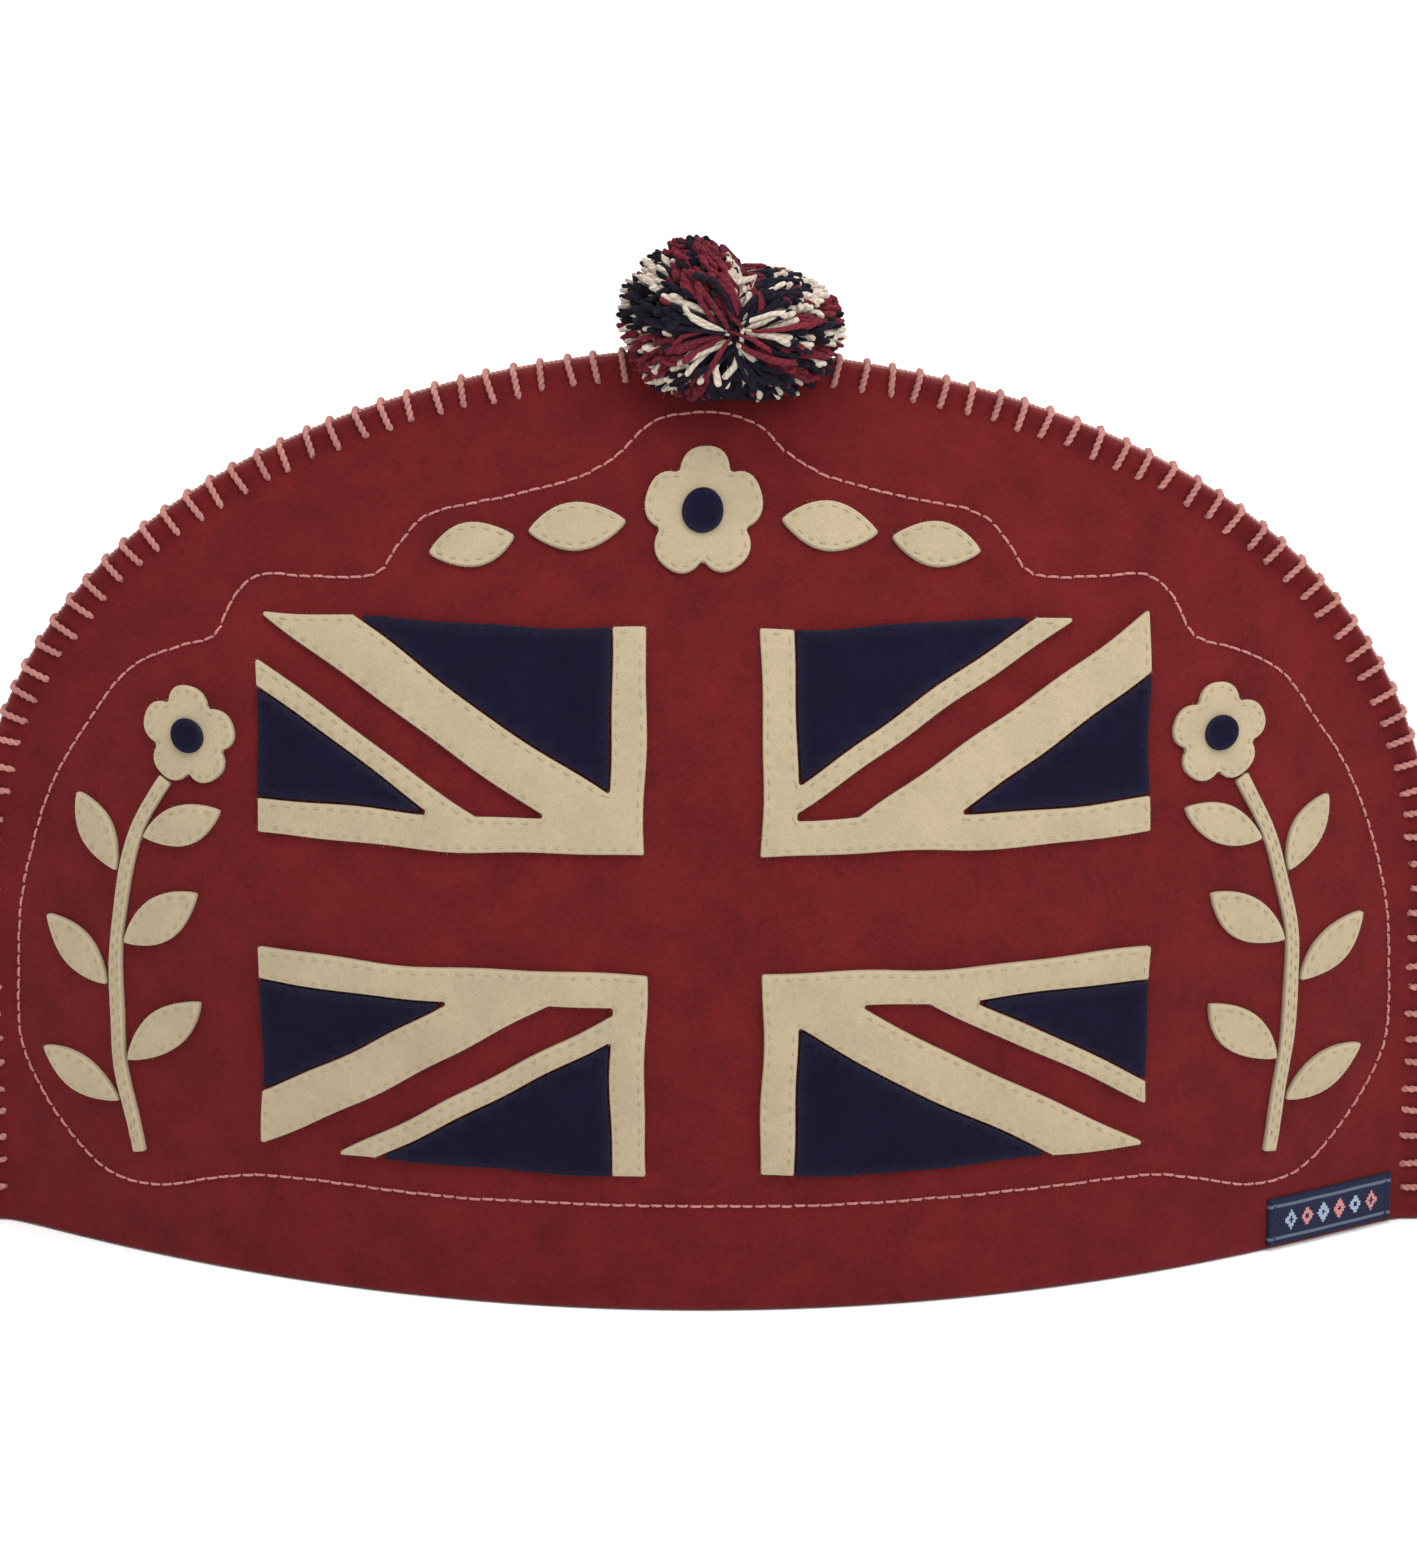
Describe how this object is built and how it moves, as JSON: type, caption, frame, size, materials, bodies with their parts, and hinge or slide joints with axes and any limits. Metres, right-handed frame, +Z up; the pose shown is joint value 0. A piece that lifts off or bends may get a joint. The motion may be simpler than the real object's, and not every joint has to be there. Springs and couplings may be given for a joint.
{
  "type": "tea cosy",
  "caption": "Half-moon felt tea cosy standing on its open hem: bowed front and back panels, a stitched curved seam, cut felt flag, leaves and flowers, a woven tab and a yarn pompom on top.",
  "frame": {"origin": "middle of the hem's lens-shaped outline, on the surface that the cosy stands on", "axes": "+X to the right along the width of the panels, -Y towards the decorated front, +Z up"},
  "size_m": [0.386, 0.1338, 0.2692],
  "materials": {
    "red_felt": "thick matte wool felt, dark red",
    "cream_felt": "matte wool felt, cream",
    "navy_felt": "matte wool felt, dark navy",
    "navy_ribbon": "matte woven ribbon, navy",
    "mixed_yarn": "matte cut wool yarn in burgundy, navy and cream"
  },
  "bodies": {
    "root": {"front_panel": "red_felt", "back_panel": "red_felt", "flag_cream_1": "cream_felt", "flag_cream_2": "cream_felt", "flag_cream_3": "cream_felt", "flag_cream_4": "cream_felt", "flag_navy_1": "navy_felt", "flag_navy_2": "navy_felt", "flag_navy_3": "navy_felt", "flag_navy_4": "navy_felt", "flag_navy_5": "navy_felt", "flag_navy_6": "navy_felt", "flag_navy_7": "navy_felt", "flag_navy_8": "navy_felt", "stem_1": "cream_felt", "stem_2": "cream_felt", "leaf_1": "cream_felt", "leaf_2": "cream_felt", "leaf_3": "cream_felt", "leaf_4": "cream_felt", "leaf_5": "cream_felt", "leaf_6": "cream_felt", "leaf_7": "cream_felt", "leaf_8": "cream_felt", "leaf_9": "cream_felt", "leaf_10": "cream_felt", "leaf_11": "cream_felt", "leaf_12": "cream_felt", "crown_leaf_1": "cream_felt", "crown_leaf_2": "cream_felt", "crown_leaf_3": "cream_felt", "crown_leaf_4": "cream_felt", "flower_1": "cream_felt", "flower_2": "cream_felt", "flower_3": "cream_felt", "flower_centre_1": "navy_felt", "flower_centre_2": "navy_felt", "flower_centre_3": "navy_felt", "tab": "navy_ribbon", "pompom": "mixed_yarn"}
  },
  "joints": []
}
